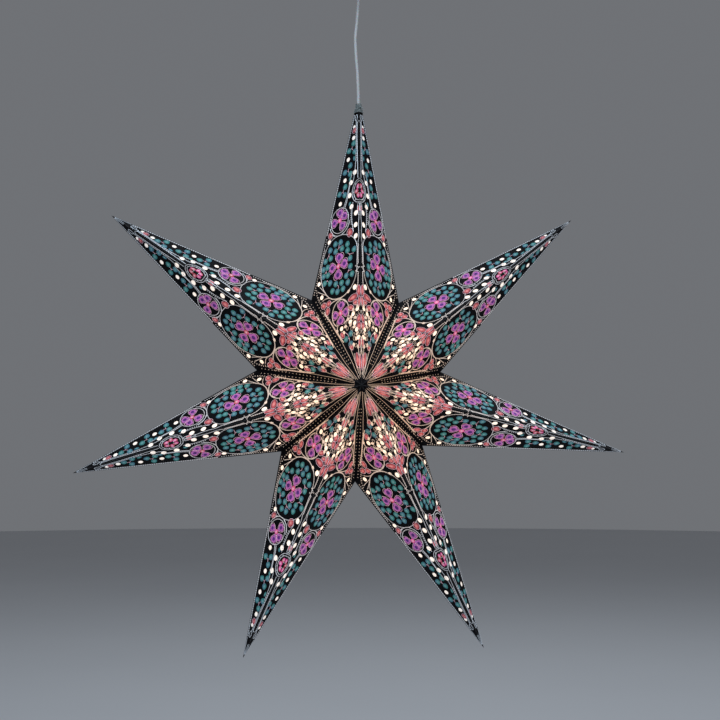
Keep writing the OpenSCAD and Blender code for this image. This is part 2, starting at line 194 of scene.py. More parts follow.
class Look:
    """A material with its surface shader; constants sit on the shader's own sockets"""

    def __init__(self, name, **constants):
        self.material = bpy.data.materials.new(name)
        self.material.use_nodes = True
        self.tree = self.material.node_tree
        self.surface = self.tree.nodes["Principled BSDF"]
        self.set(**constants)

    def set(self, **values):
        """Fills the shader's sockets by name, with _ for a space"""
        for name, value in values.items():
            self.feed(self.surface.inputs[name.replace("_", " ")], value)

    def feed(self, socket, value):
        if isinstance(value, Socket):
            self.tree.links.new(value.link, socket)
        elif hasattr(value, "__len__") and len(value) == 3 and socket.type == "RGBA":
            socket.default_value = (*value, 1)
        else:
            socket.default_value = value

    def node(self, kind, options=(), values=(), output=0):
        """Adds a node: its options first, then its inputs by name or number"""
        made = self.tree.nodes.new(kind)
        for name, value in dict(options).items():
            if name == "stops":
                while len(made.color_ramp.elements) < len(value):
                    made.color_ramp.elements.new(0.5)
                for stop, (place, shade) in zip(made.color_ramp.elements, value):
                    stop.position, stop.color = place, (*shade, 1)
            else:
                setattr(made, name, value)
        for key, value in dict(values).items():
            self.feed(made.inputs[key], value)
        return Socket(self, made.outputs[output])

    def place(self):
        """Object coordinates"""
        return self.node("ShaderNodeTexCoord", output="Object")

    def mix(self, first, second, factor, blend="MIX"):
        """Two colours mixed by a factor"""
        return self.node("ShaderNodeMix", {"data_type": "RGBA", "blend_type": blend, "clamp_factor": True},
                         {0: factor, 6: first, 7: second}, output=2)

    def noise(self, scale, detail=2.0, roughness=0.5):
        """Soft noise on object coordinates"""
        return self.node("ShaderNodeTexNoise", {},
                         {"Vector": self.place(), "Scale": scale, "Detail": detail, "Roughness": roughness})

    def cells(self, scale):
        """Distance from the middles of cells on object coordinates"""
        return self.node("ShaderNodeTexVoronoi", {}, {"Vector": self.place(), "Scale": scale},
                         output="Distance")

    def step(self, value, low, high):
        """0 below low, 1 above high, smooth between"""
        return self.node("ShaderNodeMapRange", {"interpolation_type": "SMOOTHSTEP"},
                         {"Value": value, "From Min": low, "From Max": high})

    def bump(self, height, strength, distance):
        self.set(Normal=self.node("ShaderNodeBump", {},
                                  {"Height": height, "Strength": strength, "Distance": distance}))

    def away(self):
        """Distance from the star's middle, 0 near the bulb and 1 at the tips"""
        span = self.node("ShaderNodeVectorMath", {"operation": "DISTANCE"},
                         {0: self.place(), 1: MIDDLE}, output="Value")
        return self.node("ShaderNodeMapRange", {}, {"Value": span, "From Min": 0.02, "From Max": 0.3})

    def glow(self, dim=1.0):
        """Tint and strength of the light that comes through the paper"""
        light = bpy.context.scene.lantern_glow
        near, far = Vector(light.near), Vector(light.far)
        white = Vector((1.0, 0.9, 0.86))
        stops = [(0.0, near * 0.4), (0.13, near), (0.3, near.lerp(white, 0.5) * 0.95), (0.55, white * 0.7),
                 (1.0, far * dim)]
        return self.node("ShaderNodeValToRGB", {"stops": [(p, c[:]) for p, c in stops]}, {"Fac": self.away()})

    def backlit(self, base, dim):
        """A base colour with light behind it, dimmed by a factor at the tips"""
        self.set(Base_Color=base, Emission_Color=self.mix(base, self.glow(dim), 1.0, "MULTIPLY"))

    def dress(self, *objects):
        """Puts this material on each object in place of any other"""
        for obj in objects:
            obj.data.materials.clear()
            obj.data.materials.append(self.material)


def alone(*objects):
    """Selects only these objects, the first one active"""
    if bpy.context.object and bpy.context.object.mode != "OBJECT":
        bpy.ops.object.mode_set(mode="OBJECT")
    bpy.ops.object.select_all(action="DESELECT")
    for obj in objects:
        obj.select_set(True)
    bpy.context.view_layer.objects.active = objects[0]
    return objects[0]


def joined(objects, name):
    """One object of several"""
    whole = alone(*objects)
    if len(objects) > 1:
        bpy.ops.object.join()
    whole.name = whole.data.name = name
    return whole


def copied(shape, matrix):
    """A copy of the shape, carried by a matrix"""
    copy = shape.copy()
    copy.data = shape.data.copy()
    copy.data.transform(matrix)
    bpy.context.collection.objects.link(copy)
    return copy


def empty_curve():
    """A new curve without splines, the only one selected"""
    bpy.ops.curve.primitive_bezier_curve_add()
    curve = alone(bpy.context.object)
    curve.data.splines.clear()
    return curve


def thickened(curve, radius, sides, smooth_to, name, flatten=1.0):
    """The curve as a mesh with a section, flattened, and smooth up to an angle in degrees"""
    curve.data.dimensions = "3D"
    curve.data.bevel_depth = radius
    curve.data.bevel_resolution = sides
    curve.data.use_fill_caps = True
    bpy.ops.object.convert(target="MESH")
    made = bpy.context.object
    made.data.transform(Matrix.Scale(flatten, 4, (0, 0, 1)))
    bpy.ops.object.shade_smooth_by_angle(angle=radians(smooth_to))
    made.name = made.data.name = name
    return made


def finished(obj, look, slot, *nodes):
    """Gives a piece its material and its body, and hides the nodes that it stands for; slot is not used"""
    look.dress(obj)
    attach(obj, "root")
    if nodes:
        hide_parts(*nodes)


# The star's corners and the flat pattern

RIDGE = 311.0
NOTCH = Vector((204.0, 70.0))


def sideways(out):
    """The heading across an outward one, in the star's plane"""
    return Vector((out.z, 0, -out.x))


def corners(number):
    """Tip, left notch and right notch of a point, read from its folded sheet"""
    flat = [v.co for v in NODES[f"point_{number}"].data.vertices if abs(v.co.y - MIDDLE.y) < 0.01 * MM]
    out = (sum(flat, Vector()) / len(flat) - MIDDLE).normalized()
    across = sideways(out)
    reach = max(c.dot(out) for c in flat)
    top = [c for c in flat if c.dot(out) > reach - 0.5 * MM]
    left, right = (pick(flat, key=across.dot) for pick in (min, max))
    top_left, top_right = (pick(top, key=across.dot) for pick in (min, max))
    tip = intersect_line_line(left, top_left, right, top_right)[0]
    return tip, left, right


def panels(number):
    """The matrices that carry the flat pattern, in millimetres, onto a point's four panels"""
    tip, left, right = corners(number)
    found = []
    for apex in (FRONT, BACK):
        for notch in (left, right):
            along = (apex - tip) / RIDGE
            away = (notch - tip - NOTCH.x * along) / NOTCH.y
            out = along.cross(away).normalized() * MM
            if out.y * (apex.y - MIDDLE.y) < 0:
                out.negate()
            matrix = Matrix((along, away, out)).transposed().to_4x4()
            matrix.translation = tip
            found.append(matrix)
    return found


def oval(u, v, ru, rv, start=0, end=360, count=12):
    """Places on an oval, closed if it goes all the way round"""
    whole = abs(end - start) >= 360
    steps = count if whole else count - 1
    turns = [radians(start + (end - start) * n / steps) for n in range(count)]
    return [(u + ru * cos(a), v + rv * sin(a)) for a in turns]


def smooth(points, pitch):
    """Places and headings at even steps along a smooth line through the points"""
    knots = [Vector(p) for p in points]
    line = [knots[0] * 2 - knots[1], *knots, knots[-1] * 2 - knots[-2]]
    walk = []
    for before, a, b, after in zip(line, line[1:], line[2:], line[3:]):
        for n in range(12):
            t = n / 12
            walk.append(0.5 * ((2 * a) + (b - before) * t + (2 * before - 5 * a + 4 * b - after) * t * t
                               + (3 * a - before - 3 * b + after) * t ** 3))
    walk.append(knots[-1])
    lengths = [0.0]
    for a, b in zip(walk, walk[1:]):
        lengths.append(lengths[-1] + (b - a).length)
    total = max(1, round(lengths[-1] / pitch))
    found, k = [], 0
    for n in range(total + 1):
        want = lengths[-1] * n / total
        while k < len(walk) - 2 and lengths[k + 1] < want:
            k += 1
        share = (want - lengths[k]) / max(lengths[k + 1] - lengths[k], 1e-9)
        heading = walk[k + 1] - walk[k]
        found.append((walk[k].lerp(walk[k + 1], share), heading))
    return found


# Motif templates, modelled once and copied over the flat pattern

CUSHION = ((0.62, 0.97), (0.38, 0.84))  # how far each step of a motif rises, and shrinks as it does
SUNK = 0.03  # depth of a motif's foot in the paper, in millimetres
PROUD = 1.15  # a motif's height, as a share of the print's


def chosen(shape, test):
    """Opens the shape for editing with only the vertices selected whose place passes the test"""
    bpy.ops.object.mode_set(mode="EDIT")
    bpy.ops.mesh.select_all(action="DESELECT")
    bpy.ops.object.mode_set(mode="OBJECT")
    for vertex in shape.data.vertices:
        vertex.select = test(vertex.co)
    bpy.ops.object.mode_set(mode="EDIT")


def template(sides, point=0.0, pinch=1.0, notch=0.0, waist=1.0):
    """A raised shape one unit long: round, drawn out to a point, or notched and waisted like a petal.
    Its attribute heart is 1 in the middle of its top, where a painted highlight is palest"""
    bpy.ops.mesh.primitive_circle_add(vertices=sides, radius=0.5, fill_type="NGON")
    shape = alone(bpy.context.object)
    chosen(shape, lambda place: place.x > 0.2)
    bpy.ops.transform.resize(value=(1 + point, pinch, 1), center_override=(0, 0, 0))
    chosen(shape, lambda place: place.x < -0.2)
    bpy.ops.transform.resize(value=(1, waist, 1), center_override=(0, 0, 0))
    chosen(shape, lambda place: place.x > 0.2 and abs(place.y) < 0.02)
    bpy.ops.transform.translate(value=(point * 0.3 - notch, 0, 0))
    bpy.ops.mesh.select_all(action="SELECT")
    for rise, shrink in CUSHION:
        bpy.ops.mesh.extrude_region_move(TRANSFORM_OT_translate={"value": (0, 0, rise)})
        bpy.ops.transform.resize(value=(shrink, shrink, 1), center_override=(0, 0, 0))
    bpy.ops.mesh.poke()
    bpy.ops.mesh.select_all(action="SELECT")
    bpy.ops.mesh.normals_make_consistent(inside=False)
    bpy.ops.object.mode_set(mode="OBJECT")
    bpy.ops.object.shade_smooth_by_angle(angle=radians(50))
    # The attribute carries a painted highlight: paler in the middle of each motif's top
    bpy.ops.geometry.attribute_add(name="heart", domain="POINT", data_type="FLOAT")
    heart = max(shape.data.vertices, key=lambda v: v.co.z - v.co.xy.length)
    shape.data.attributes["heart"].data[heart.index].value = 1.0
    long = max(v.co.x for v in shape.data.vertices) - min(v.co.x for v in shape.data.vertices)
    shape.data.transform(Matrix.Scale(1 / long, 4, (1, 0, 0)))
    return shape


def strewn(shape, places, height):
    """The template's copies at (u, v, turn, length, width), joined into one flat piece"""
    copies = []
    for u, v, turn, length, width in places:
        place = Matrix.Translation((u, v, -SUNK)) @ Matrix.Rotation(radians(turn), 4, "Z")
        copies.append(copied(shape, place @ Matrix.Diagonal((length, width, height / MM * PROUD, 1))))
    bpy.data.objects.remove(shape)
    return joined(copies, "flat")


def drawn(lines, width, height):
    """Raised lines through (places, closed), as one flat piece"""
    curve = empty_curve()
    for points, closed in lines:
        spline = curve.data.splines.new("BEZIER")
        spline.bezier_points.add(len(points) - 1)
        for knot, (u, v) in zip(spline.bezier_points, points):
            knot.co = (u, v, 0)
            knot.handle_left_type = knot.handle_right_type = "AUTO"
        spline.use_cyclic_u = closed
        spline.resolution_u = 3
    return thickened(curve, width / MM / 2, 0, 75, "flat", height / width * 2)


def laid(flat, group, look, lift=0.0, skip=()):
    """Carries a flat piece onto the four panels of every point, one piece for each point"""
    for number in POINTS:
        if number in skip:
            continue
        copies = []
        for matrix in panels(number):
            copies.append(copied(flat, matrix @ Matrix.Translation((0, 0, lift))))
            if matrix.determinant() < 0:
                copies[-1].data.flip_normals()
        finished(joined(copies, f"{group}_{number}"), look, "printed_paper")
    bpy.data.objects.remove(flat)


# The flat pattern, in millimetres from the tip along the ridge and away from it

ROUND = (131.5, 28.6)
ROUND_REACH = (13.4, 12.4)
LARGE = (180.2, 31)
SMALL = (230.5, 28.2)
SMALL_REACH = (14.0, 11.6)
CHAIN_START = 22  # where the chain lines begin
STITCH = (2.0, 1.25)
LARGE_OUTLINE = [(163, 5.5), (155, 11), (149.2, 21), (147.4, 31), (150, 41), (158, 48.6), (169, 53.6),
                 (181, 56), (192, 54.6), (203, 50), (210.4, 43), (214, 32), (212.6, 21), (207, 12.6),
                 (197, 6.6), (180, 4.8)]
VALLEY = (NOTCH, Vector((RIDGE, 0)))


def beside_valley(share, gap):
    """A place at a share of the valley from its notch, and a gap away from it"""
    start, end = VALLEY
    way = (end - start).normalized()
    return start.lerp(end, share) + Vector((way.y, -way.x)) * gap


def turned(u, v, turn, places):
    """Places about a middle, turned in degrees"""
    a = radians(turn)
    return [(u + x * cos(a) - y * sin(a), v + x * sin(a) + y * cos(a)) for x, y in places]


def flower(middle, reach_u, reach_v, turns):
    """The petals of a medallion's flower, as (u, v, turn, length, width)"""
    found = []
    for turn in turns:
        a = radians(turn)
        reach = hypot(reach_u * cos(a), reach_v * sin(a))
        found.append((*turned(*middle, turn, [(0.62 * reach, 0)])[0], turn, 0.8 * reach, 0.78 * reach))
    return found


def flowers():
    """Petals of the three medallions' flowers"""
    return (flower(ROUND, 11.6, 10.8, (-114, -30, 86, 184)) + flower(LARGE, 13.2, 12.4, (-92, 3, 94, 190))
            + flower(SMALL, 11.6, 10.4, (-84, 0, 86, 186)))


def spots():
    """Violet spots on the petals"""
    return [(*turned(u, v, turn, [(0.08 * length, 0)])[0], turn, length * 0.5, width * 0.48)
            for u, v, turn, length, width in flowers()]


def hearts():
    """Rosy middles of the flowers, and the small flower on the ridge"""
    found = [(*middle, 0, size, size) for middle, size in ((ROUND, 5.2), (LARGE, 5.8), (SMALL, 6.0))]
    return found + [(103.2, 2.4, 200, 5.8, 4.0), (108, 4.6, 90, 5.2, 4.6), (112.8, 2.4, -20, 5.8, 4.0)]


def petal_lines():
    """Thin outlines round the petals and the coral motifs, and the leaves' stems"""
    petal = [(-0.46, 0.12), (-0.1, 0.46), (0.3, 0.58), (0.56, 0.3), (0.42, 0), (0.56, -0.3), (0.3, -0.58),
             (-0.1, -0.46), (-0.46, -0.12)]
    found = [(turned(u, v, turn, [(x * length, y * width) for x, y in petal]), False)
             for u, v, turn, length, width in flowers()]
    found += [(turned(u, v, turn, oval(0, 0, length * 0.54, width * 0.6, count=8)), True)
              for u, v, turn, length, width in corals()]
    for before, fork, *ends in (
            ([(53.5, 8)], (58, 10.4), (63, 6.6), (59.6, 14)),
            ([(76.5, 13)], (81, 16), (85.5, 13.6), (81.5, 20)),
            ([(97.5, 20.6)], (101.8, 23.6), (106, 21.6), (102.8, 28)),
            ([(251.5, 23), (256, 18)], (260, 16.4), (266, 15), (259.8, 20)), ([], (253.4, 11), (256, 14)),
            ([(172.6, 9.4)], (172.2, 15), (170, 18), (176.8, 14.4)),
            ([(189.6, 12)], (189.8, 17), (193.7, 20), (185.4, 14.4)), ([], (197.4, 17), (201.3, 18)),
            ([(159.6, 24)], (160.8, 30), (163.2, 34), (156, 29.6)),
            ([], (201.6, 30.4), (205.9, 32), (198, 34.6)),
            ([], (164.4, 44.6), (168.9, 42.4), (159.6, 42.6), (169.3, 48)),
            ([], (180.6, 48.6), (176.8, 46.4), (185.1, 46.2), (183.2, 51.2)),
            ([], (190.4, 47), (194.8, 43.6), (194.1, 50.6))):
        found.append(([*before, fork, ends[0]], False))
        found += [([fork, end], False) for end in ends[1:]]
    return found


def bold_lines():
    """The strongest outlines: the small medallion, its crossing with the large one, and the border"""
    rim = oval(*SMALL, *SMALL_REACH, 28, 332, 12)
    border = [beside_valley(share, 5.4) for share in (0.2, 0.3, 0.4, 0.48)]
    return [(rim, False), ([tuple(p) for p in border], False),
            ([(208, 13.5), (212.6, 21), (215, 29), (215.4, 36.5), (217, 43)], False),
            ([(222.6, 18.4), (217, 25), (214.4, 33), (212, 40.6), (207, 47), (201.6, 50.6)], False),
            ([(241.5, 31.6), (247, 33), (256, 28.4), (262, 24)], False)]


def lines():
    """The fine lines on a panel, as (places, closed)"""
    found = []

    def line(*points):
        found.append((list(points), False))

    def ring(points):
        found.append((points, True))

    line((30.4, 0.3), (31.4, 1.9), (36, 2.6), (60, 2.9), (94, 2.4))
    line((44, 4.4), (62, 4.6), (76, 5.4), (90, 7.8), (97, 9.6))
    ring([(22.6, 3.6), (25, 5.2), (28, 5.4), (29.4, 3.8), (27, 2.6), (24, 2.5)])
    line((29.4, 3.8), (36, 4.2), (44, 4.4))
    line((84, 10.2), (97, 14.4), (112, 19.4), (119, 23))
    line((118, 9.8), (130, 11.6), (142, 11.0), (150, 9.4))
    for reach_u, reach_v in ((12.8, 10.4), (10.4, 8.0)):
        line(*[(u, max(v, 0.3)) for u, v in oval(108, 0.3, reach_u, reach_v, 180, 0, 9)])
    ring([(121.5, 1.6), (126, 3.4), (131.5, 2.8), (135, 1.0), (128, 0.7)])
    line((135, 1.4), (146, 2.4), (158, 2.0), (165, 3.6))
    ring(oval(*ROUND, *ROUND_REACH))
    line(*oval(ROUND[0] + 0.4, ROUND[1], ROUND_REACH[0] + 2.4, ROUND_REACH[1] + 2.0, -76, 76, 8))
    line((138, 14.5), (144.5, 19.5), (147, 25.5))
    line((146.4, 35.5), (144.4, 39), (141.5, 43.5))
    ring(LARGE_OUTLINE)
    line((203, 50), (198, 54.2), (194.4, 57.6))
    line((210.4, 43), (209.4, 49), (210.6, 54))
    line((206, 47.6), (203.4, 52.6), (198.6, 60.6))
    line((184.8, 2.6), (187.6, 5.2), (190.2, 3.0), (192.8, 5.2), (195.6, 2.6))
    ring([(262, 1.2), (268, 3.2), (276, 3.8), (281, 1.8), (272, 0.9)])
    return found


def hair_lines():
    """The finest lines: the border and the rays that reach the middle, and the small rings"""
    border = [tuple(beside_valley(share, gap)) for share, gap in (
        (0.47, 5.4), (0.56, 5.2), (0.66, 4.4), (0.76, 3.8), (0.86, 2.2), (0.94, 1.2))]
    found = [(border, False), ([(269, 15.4), (284, 9.2), (296, 4.8), (303, 1.6)], False),
             ([(277, 9.4), (286, 8.6), (295, 3.9), (301, 1.0)], False),
             ([(276.6, 1.0), (284, 3.4), (294, 2.6), (300, 0.7)], False)]
    for u, v in ((257.6, 10.2), (269.4, 7.4), (257.2, 1.9), (239.6, 6.6), (251, 12.6), (226.6, 6.6),
                 (238, 16.6), (249, 19), (242.4, 21), (270.6, 12), (233.6, 9.4), (229.4, 2.4), (236.8, 2.2),
                 (241.4, 11.4), (262, 9.4), (252.6, 1.9), (246, 14.4)):
        found.append((oval(u, v, 1.8, 1.5, count=6), True))
    return found


def corals():
    """Buds, trefoils, tulips and flames in coral, as (u, v, turn, length, width)"""
    return [(149.4, 14.4, 170, 8.4, 7.0), (143.8, 41.8, 150, 6.6, 5.4), (39.4, 6.6, 200, 6.0, 4.4),
            (127.5, 2.0, 180, 5.4, 2.0),
            (215.8, 45, 250, 6.4, 5.0), (223.4, 46.4, 10, 7.6, 5.0), (216, 52, 95, 6.8, 5.4),
            (219.4, 10.6, 80, 12.6, 5.6), (229, 14, 118, 8.6, 4.6), (225.4, 7.4, 100, 5.8, 4.2),
            (214.6, 2.8, 178, 11, 4.4), (225.4, 2.2, 6, 8.6, 3.4), (243.2, 3.0, 196, 7.2, 4.4),
            (250.6, 3.0, -16, 7.4, 4.6), (285, 5.2, 170, 15, 4.0), (288, 1.7, 177, 15, 2.0),
            (268.6, 2.2, 180, 8, 3.0), (268.6, 13.8, 152, 9, 3.6), (254.4, 25.6, 145, 7, 4.0)]


def drops():
    """Teal leaves, as (u, v, turn, length, width)"""
    found = []
    for u, v in ((169, 8.8), (160.7, 18), (167.4, 18), (176.8, 14.4), (185.4, 14.2), (194.1, 12),
                 (193.7, 20), (201.3, 17.9), (163, 25.8), (155.6, 27.6), (155.2, 35), (163.2, 34.8),
                 (199.1, 26.6), (206, 24.6), (206.6, 32.6), (197.9, 34.8), (204, 39.6), (159.6, 42.4),
                 (168.4, 41.8), (176.8, 46.2), (185.1, 45.9), (194.4, 43), (169.3, 49.4), (177.4, 52.2),
                 (184.6, 52.2), (192.4, 50.6)):
        lean = degrees(atan2(v - LARGE[1], abs(u - LARGE[0]) + 6))
        found.append((u, v, 0.45 * lean if u > LARGE[0] else 180 - 0.45 * lean, 6.4, 6.7))
    found += [(u, v, turn, 6.4, 6.6) for u, v, turn in (
        (53.5, 8, 200), (63, 6.6, -20), (59.6, 14.6, 80),
        (76.5, 13, 200), (85.5, 13.4, -10), (81.5, 20.7, 80),
        (97.5, 20.6, 200), (106, 21.4, -10), (102.8, 28.8, 80),
        (255.6, 14.2, 200), (266, 14.4, -10), (259.8, 20.6, 80))]
    found += [(70.5, 7.4, 0, 5.4, 3.0), (91.4, 13.4, 20, 4.8, 3.2), (118.4, 14, 20, 4.6, 3.4)]
    return found


def creams():
    """Pale beads between the holes round the middle, as (u, v, turn, length, width)"""
    return [(u, v, turn, 4.2, 3.0) for u, v, turn in (
        (211, 17, 60), (232, 10.8, 0), (238.6, 13.4, 20), (246.4, 14.2, 30), (250, 9.6, 90),
        (257.8, 5.6, 40), (252, 23.6, -30), (246.4, 21.6, 80), (230.4, 5.0, 0), (241, 7.8, 120),
        (268, 10.2, -20), (262.6, 7.0, -10), (271.4, 4.4, -5), (248, 33.4, -60), (240, 17.6, 60))]


def pinholes():
    """Tiny dots along the valley, the outer edge and the stems, as (u, v, turn, length, width)"""
    found = []
    span = (VALLEY[1] - VALLEY[0]).length
    for start, end, gap, step in ((0.06, 0.82, 2.6, 4.3), (0.05, 0.34, 6.8, 3.6), (0.08, 0.26, 9.8, 4.2)):
        for n in range(int((end - start) * span / step)):
            u, v = beside_valley(start + n * step / span, gap * (1.25 - start - n * step / span * 0.9))
            found.append((u, v, 0, 0.9, 0.9))
    for points, step in (
            ([(222, 55), (228, 49.6), (234, 46)], 2.6),
            ([(146, 48.2), (160, 53), (180, 59.8), (200, 66.5)], 2.4),
            ([(157, 51), (170, 56.4), (184, 58.2)], 2.4),
            ([(196.5, 63), (203, 62), (210, 59), (214, 56)], 2.6),
            ([(32, 3.4), (40, 3.4), (60, 3.8), (74, 4.2)], 2.6),
            ([(122, 12.2), (132, 13.6), (141, 12.8)], 2.4)):
        found += [(place.x, place.y - 0.6, 0, 1.1, 1.1) for place, _ in smooth(points, step)]
    found += [(u, v, 0, 1.2, 1.2) for u, v in (
        (99.4, 5.8), (103.4, 7.8), (108, 8.6), (112.6, 7.8), (116.6, 5.8), (105, 1.2), (111, 1.2),
        (187.6, 6.6), (192.8, 6.6), (190.2, 1.4))]
    return found


def chains():
    """Stitches of the chain lines, as (u, v, turn, length, width)"""
    found = []
    for points, pitch in (
            ([(166, 2.8), (178, 3.4), (184, 3.2)], 2.1),
            ([(197, 3.4), (206, 3.8), (212, 5.6)], 2.1),
            ([(96, 12.2), (100, 14.4), (112, 17.6), (119, 20.6)], 2.1),
            ([(20.8, 5.7), (60, 19.2), (100, 32.9), (141, 46.9)], 2.3),
            ([(226, 50), (236, 42), (250, 33), (258, 28)], 2.6)):
        for place, heading in smooth(points, pitch):
            if place.x > CHAIN_START:
                found.append((place.x, place.y, degrees(atan2(heading.y, heading.x)), *STITCH))
    return found


# Looks

def cotton_paper(number):
    """Black cotton paper of one point, paler along its folds: partly a painted highlight where the folds
    catch the light, partly rubbing
    """
    ink = bpy.context.scene.lantern_print
    look = Look(f"black_paper_{number}", Specular_IOR_Level=0.12)
    out = (corners(number)[0] - MIDDLE).normalized()
    place = look.place()

    def beside(direction, origin):
        gap = look.node("ShaderNodeVectorMath", {"operation": "SUBTRACT"}, {0: place, 1: origin})
        return abs(look.node("ShaderNodeVectorMath", {"operation": "DOT_PRODUCT"},
                             {0: gap, 1: direction}, output="Value"))

    ridge = beside(sideways(out), MIDDLE)
    edge = beside(Vector((0, 1, 0)), MIDDLE)
    fibre = look.noise(900.0, 4.0, 0.65)
    cloud = look.noise(45.0, 3.0)
    # Painted highlight and wear: paler within a millimetre of the ridge and of the outer edges
    fold_sheen_and_wear = 1 - look.step(ridge, 0.1 * MM, 0.7 * MM) * look.step(edge, 0.1 * MM, 0.9 * MM)
    ground = look.mix(ink.ground, toned(ink.ground, 2.2), look.step(cloud * 0.5 + fibre * 0.5, 0.42, 0.66))
    look.set(Base_Color=look.mix(ground, ink.fold_sheen_and_wear, fold_sheen_and_wear * look.step(fibre, 0.42, 0.62) * 0.8),
             Roughness=0.62 + fibre * 0.3)
    look.bump(fibre + cloud * 0.4, 0.35, 0.00015)
    return look


def printed(name, first, second, strength, dim=0.35, cell=180.0, heart=None):
    """Ink with light behind it: two tones that change from motif to motif, round a paler middle that is a
    painted highlight
    """
    look = Look(name, Emission_Strength=strength, Specular_IOR_Level=0.3)
    tone = look.step(look.noise(cell, 1.0), 0.42, 0.58)
    grain = look.noise(1600.0, 3.0, 0.7)
    base = look.mix(first, second, tone)
    if heart is not None:
        # Painted highlight: the motif's colour turns paler towards its middle
        middle = look.node("ShaderNodeAttribute", {"attribute_name": "heart"}, output="Fac")
        base = look.mix(base, heart, look.step(middle, 0.1, 0.8) * 0.8)
    base = look.mix(base, toned(first, 0.5), look.step(grain, 0.5, 0.7) * 0.6)
    look.set(Roughness=0.55 + grain * 0.25)
    look.backlit(base, dim)
    look.bump(grain, 0.3, 0.0001)
    return look


def glitter():
    """Silver outline with the bulb's warm light painted in, so that it turns gold round the middle, with
    sparkling grains
    """
    ink, light, *_ = settings()
    look = Look("glitter_ink", Metallic=0.35, Emission_Strength=light.ink * 1.3, Specular_IOR_Level=0.6)
    grain = look.cells(1500.0)
    # Painted light: the outline's colour warms from silver to gold towards the bulb
    base = look.mix(ink.bulb_warmed_line, ink.silver, look.step(look.away(), 0.12, 0.55))
    base = look.mix(base, (0.95, 0.93, 0.9), look.step(grain, 0.45, 0.7) * 0.4)
    look.set(Roughness=0.3 + grain * 0.35)
    look.backlit(base, 0.45)
    look.bump(grain, 0.6, 0.00012)
    return look


def moulded(name, shade, rough=0.38):
    """Moulded plastic with a fine skin"""
    look = Look(name, Specular_IOR_Level=0.5)
    skin = look.noise(700.0, 2.0)
    cloud = look.noise(25.0)
    look.set(Base_Color=look.mix(shade, toned(shade, 0.86), look.step(cloud, 0.35, 0.75)),
             Roughness=rough + skin * 0.12)
    look.bump(skin, 0.12, 0.00008)
    return look


def metal(name, shade, rough):
    """Rolled or plated metal with fine scratches and faint stains"""
    look = Look(name, Metallic=1.0)
    scratch = look.node("ShaderNodeTexNoise", {}, {"Vector": look.node(
        "ShaderNodeMapping", {}, {"Vector": look.place(), "Scale": (60.0, 60.0, 1600.0)}), "Scale": 1.0,
        "Detail": 3.0})
    stain = look.noise(120.0, 3.0)
    look.set(Base_Color=look.mix(shade, toned(shade, 0.6), look.step(stain, 0.45, 0.8)),
             Roughness=rough + scratch * 0.25)
    look.bump(scratch, 0.15, 0.00005)
    return look


def fibre(name, shade, twist):
    """Twisted cotton: fine slanting fibres and a soft nap"""
    look = Look(name, Roughness=0.85, Specular_IOR_Level=0.25, Sheen_Weight=0.3)
    strand = look.node("ShaderNodeTexWave", {"wave_type": "BANDS", "bands_direction": "DIAGONAL"},
                       {"Vector": look.place(), "Scale": twist, "Distortion": 2.0, "Detail": 2.0})
    nap = look.noise(2200.0, 3.0)
    look.set(Base_Color=look.mix(toned(shade, 0.55), shade, strand * 0.6 + nap * 0.5))
    look.bump(strand + nap * 0.6, 0.6, 0.00012)
    return look


# Lead and ties

TIP_CUT = 17  # how far below its tip the tied point is cut open, in millimetres
PLY = 0.56  # a ply's thickness, as a share of its thread's

# The lead's route from the lampholder to the terminals: sideways and up from the middle of the
# ceiling, in millimetres, and its turn about its own length in degrees
LEAD_ROUTE = [
    (0, -394, 75), (0, -380, 75), (0, -366, 75), (0.4, -350, 75), (0.8, -330, 75),
    (0.9, -306, 74), (0.7, -280, 73), (0.3, -252, 72), (-0.1, -224, 71), (-0.3, -200, 70),
    (-0.4, -182, 70), (-0.3, -169, 70), (-0.4, -152, 72), (-0.8, -140, 74),
    (-1.4, -127, 76), (-2.4, -115, 79), (-3.3, -102, 82), (-3.7, -90, 85),
    (-3.0, -81, 87), (-2.2, -73, 88), (-1.3, -60, 90), (-0.7, -52, 90), (-0.2, -40, 90),
    (0, -28, 90), (0, -14, 90)]


def lead_outline(width, thickness, count=10):
    """Two round cores side by side with the web that joins them"""
    radius, apart = thickness / 2, (width - thickness) / 2
    found = []
    for side in (1, -1):
        for n in range(count):
            a = radians(-105 + 210 * n / (count - 1)) + (0 if side > 0 else pi)
            found.append((side * apart + radius * cos(a), radius * sin(a)))
    return found


def swept(outline, route, name):
    """A closed tube of an outline carried along (place, turn)"""
    bpy.ops.mesh.primitive_circle_add(vertices=len(outline), radius=1, fill_type="NGON")
    tube = alone(bpy.context.object)
    vertices, faces = [], []
    count = len(outline)
    for place, turn in route:
        c, s = cos(turn), sin(turn)
        vertices += [place + Vector((x * c - y * s, x * s + y * c, 0)) for x, y in outline]
    for k in range(len(route) - 1):
        for n in range(count):
            a, b = k * count + n, k * count + (n + 1) % count
            faces.append((a, b, b + count, a + count))
    faces.append(tuple(range(count))[::-1])
    faces.append(tuple(range(len(vertices) - count, len(vertices))))
    tube.data.clear_geometry()
    tube.data.from_pydata(vertices, [], faces)
    tube.data.validate()
    bpy.ops.object.shade_smooth_by_angle(angle=radians(40))
    tube.name = tube.data.name = name
    return tube


def wound(paths, thickness, name):
    """Threads of round section along lists of places, as one mesh"""
    curve = empty_curve()
    for points in paths:
        spline = curve.data.splines.new("POLY")
        spline.points.add(len(points) - 1)
        for knot, place in zip(spline.points, points):
            knot.co = (*place, 1)
    return thickened(curve, thickness / 2, 1, 60, name)


